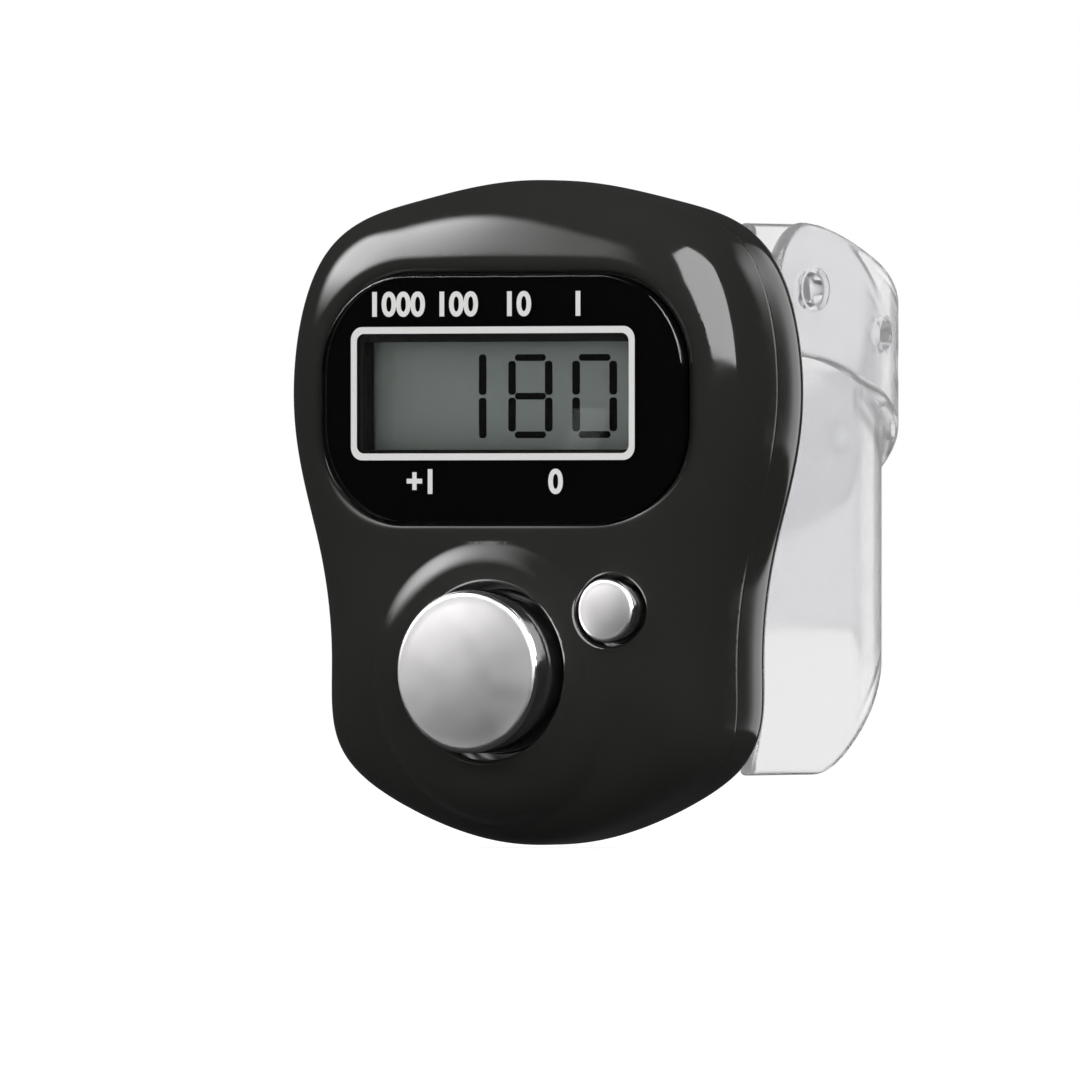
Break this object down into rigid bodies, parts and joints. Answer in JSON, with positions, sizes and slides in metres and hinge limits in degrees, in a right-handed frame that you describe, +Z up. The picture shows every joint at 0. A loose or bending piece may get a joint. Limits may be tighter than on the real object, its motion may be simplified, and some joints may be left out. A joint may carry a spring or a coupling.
{
  "type": "digital finger tally counter",
  "caption": "Finger tally counter with a liquid crystal display, a large count button, a small reset button and a clear strap that closes round a finger.",
  "frame": {"origin": "on the axis of the finger, in the middle of the rounded end of the strap loop and level with the middle of the body's height", "axes": "+Z up the body and along the finger, towards the top of the display; -Y the way the face looks; +X to the right seen from the front"},
  "size_m": [0.0324, 0.041, 0.0409],
  "materials": {
    "abs_black": "polished moulding",
    "lens_acrylic": "clear acrylic, printed black round the window",
    "tape_foam": "adhesive foam",
    "lcd_glass": "clear, with polarising film",
    "reflector_film": "satin reflective film",
    "frame_white": "moulded",
    "zebra_silicone": "layered silicone",
    "board_laminate": "green solder mask",
    "epoxy_black": "cured drop",
    "part_ceramic": "fired ceramic",
    "screw_steel": "zinc plated",
    "cap_chrome": "bright chrome plate on plastic",
    "dome_silicone": "moulded silicone",
    "pill_carbon": "carbon-filled silicone",
    "cell_steel": "nickel-plated can",
    "contact_bronze": "spring strip",
    "strap_clear": "clear soft plastic"
  },
  "bodies": {
    "body": {"front_shell": "abs_black", "back_shell": "abs_black", "display_lens": "lens_acrylic", "lens_tape": "tape_foam", "lcd_glass": "lcd_glass", "lcd_reflector": "reflector_film", "lcd_frame": "frame_white", "zebra_strip": "zebra_silicone", "circuit_board": "board_laminate", "controller_blob": "epoxy_black", "board_parts": "part_ceramic", "board_screws": "screw_steel", "count_dome": "dome_silicone", "reset_dome": "dome_silicone", "button_cell": "cell_steel", "contact_positive": "contact_bronze", "contact_negative": "contact_bronze", "case_screws": "screw_steel", "strap_panel": "strap_clear", "strap_tongue": "strap_clear"},
    "count_button": {"count_button": "cap_chrome", "count_pill": "pill_carbon"},
    "reset_button": {"reset_button": "cap_chrome", "reset_pill": "pill_carbon"},
    "battery_door": {"battery_door": "abs_black", "door_screw": "screw_steel"}
  },
  "joints": [
    {"name": "count_press", "type": "slide", "parent": "body", "child": "count_button", "axis": [0, 1, 0], "range_m": [0, 0.001], "stiffness_N_per_m": 800, "deforming": ["count_dome"]},
    {"name": "reset_press", "type": "slide", "parent": "body", "child": "reset_button", "axis": [0, 1, 0], "range_m": [0, 0.0007], "stiffness_N_per_m": 800, "deforming": ["reset_dome"]},
    {"name": "door_lift", "type": "slide", "parent": "body", "child": "battery_door", "axis": [0, 1, 0], "range_m": [0, 0.006]}
  ]
}
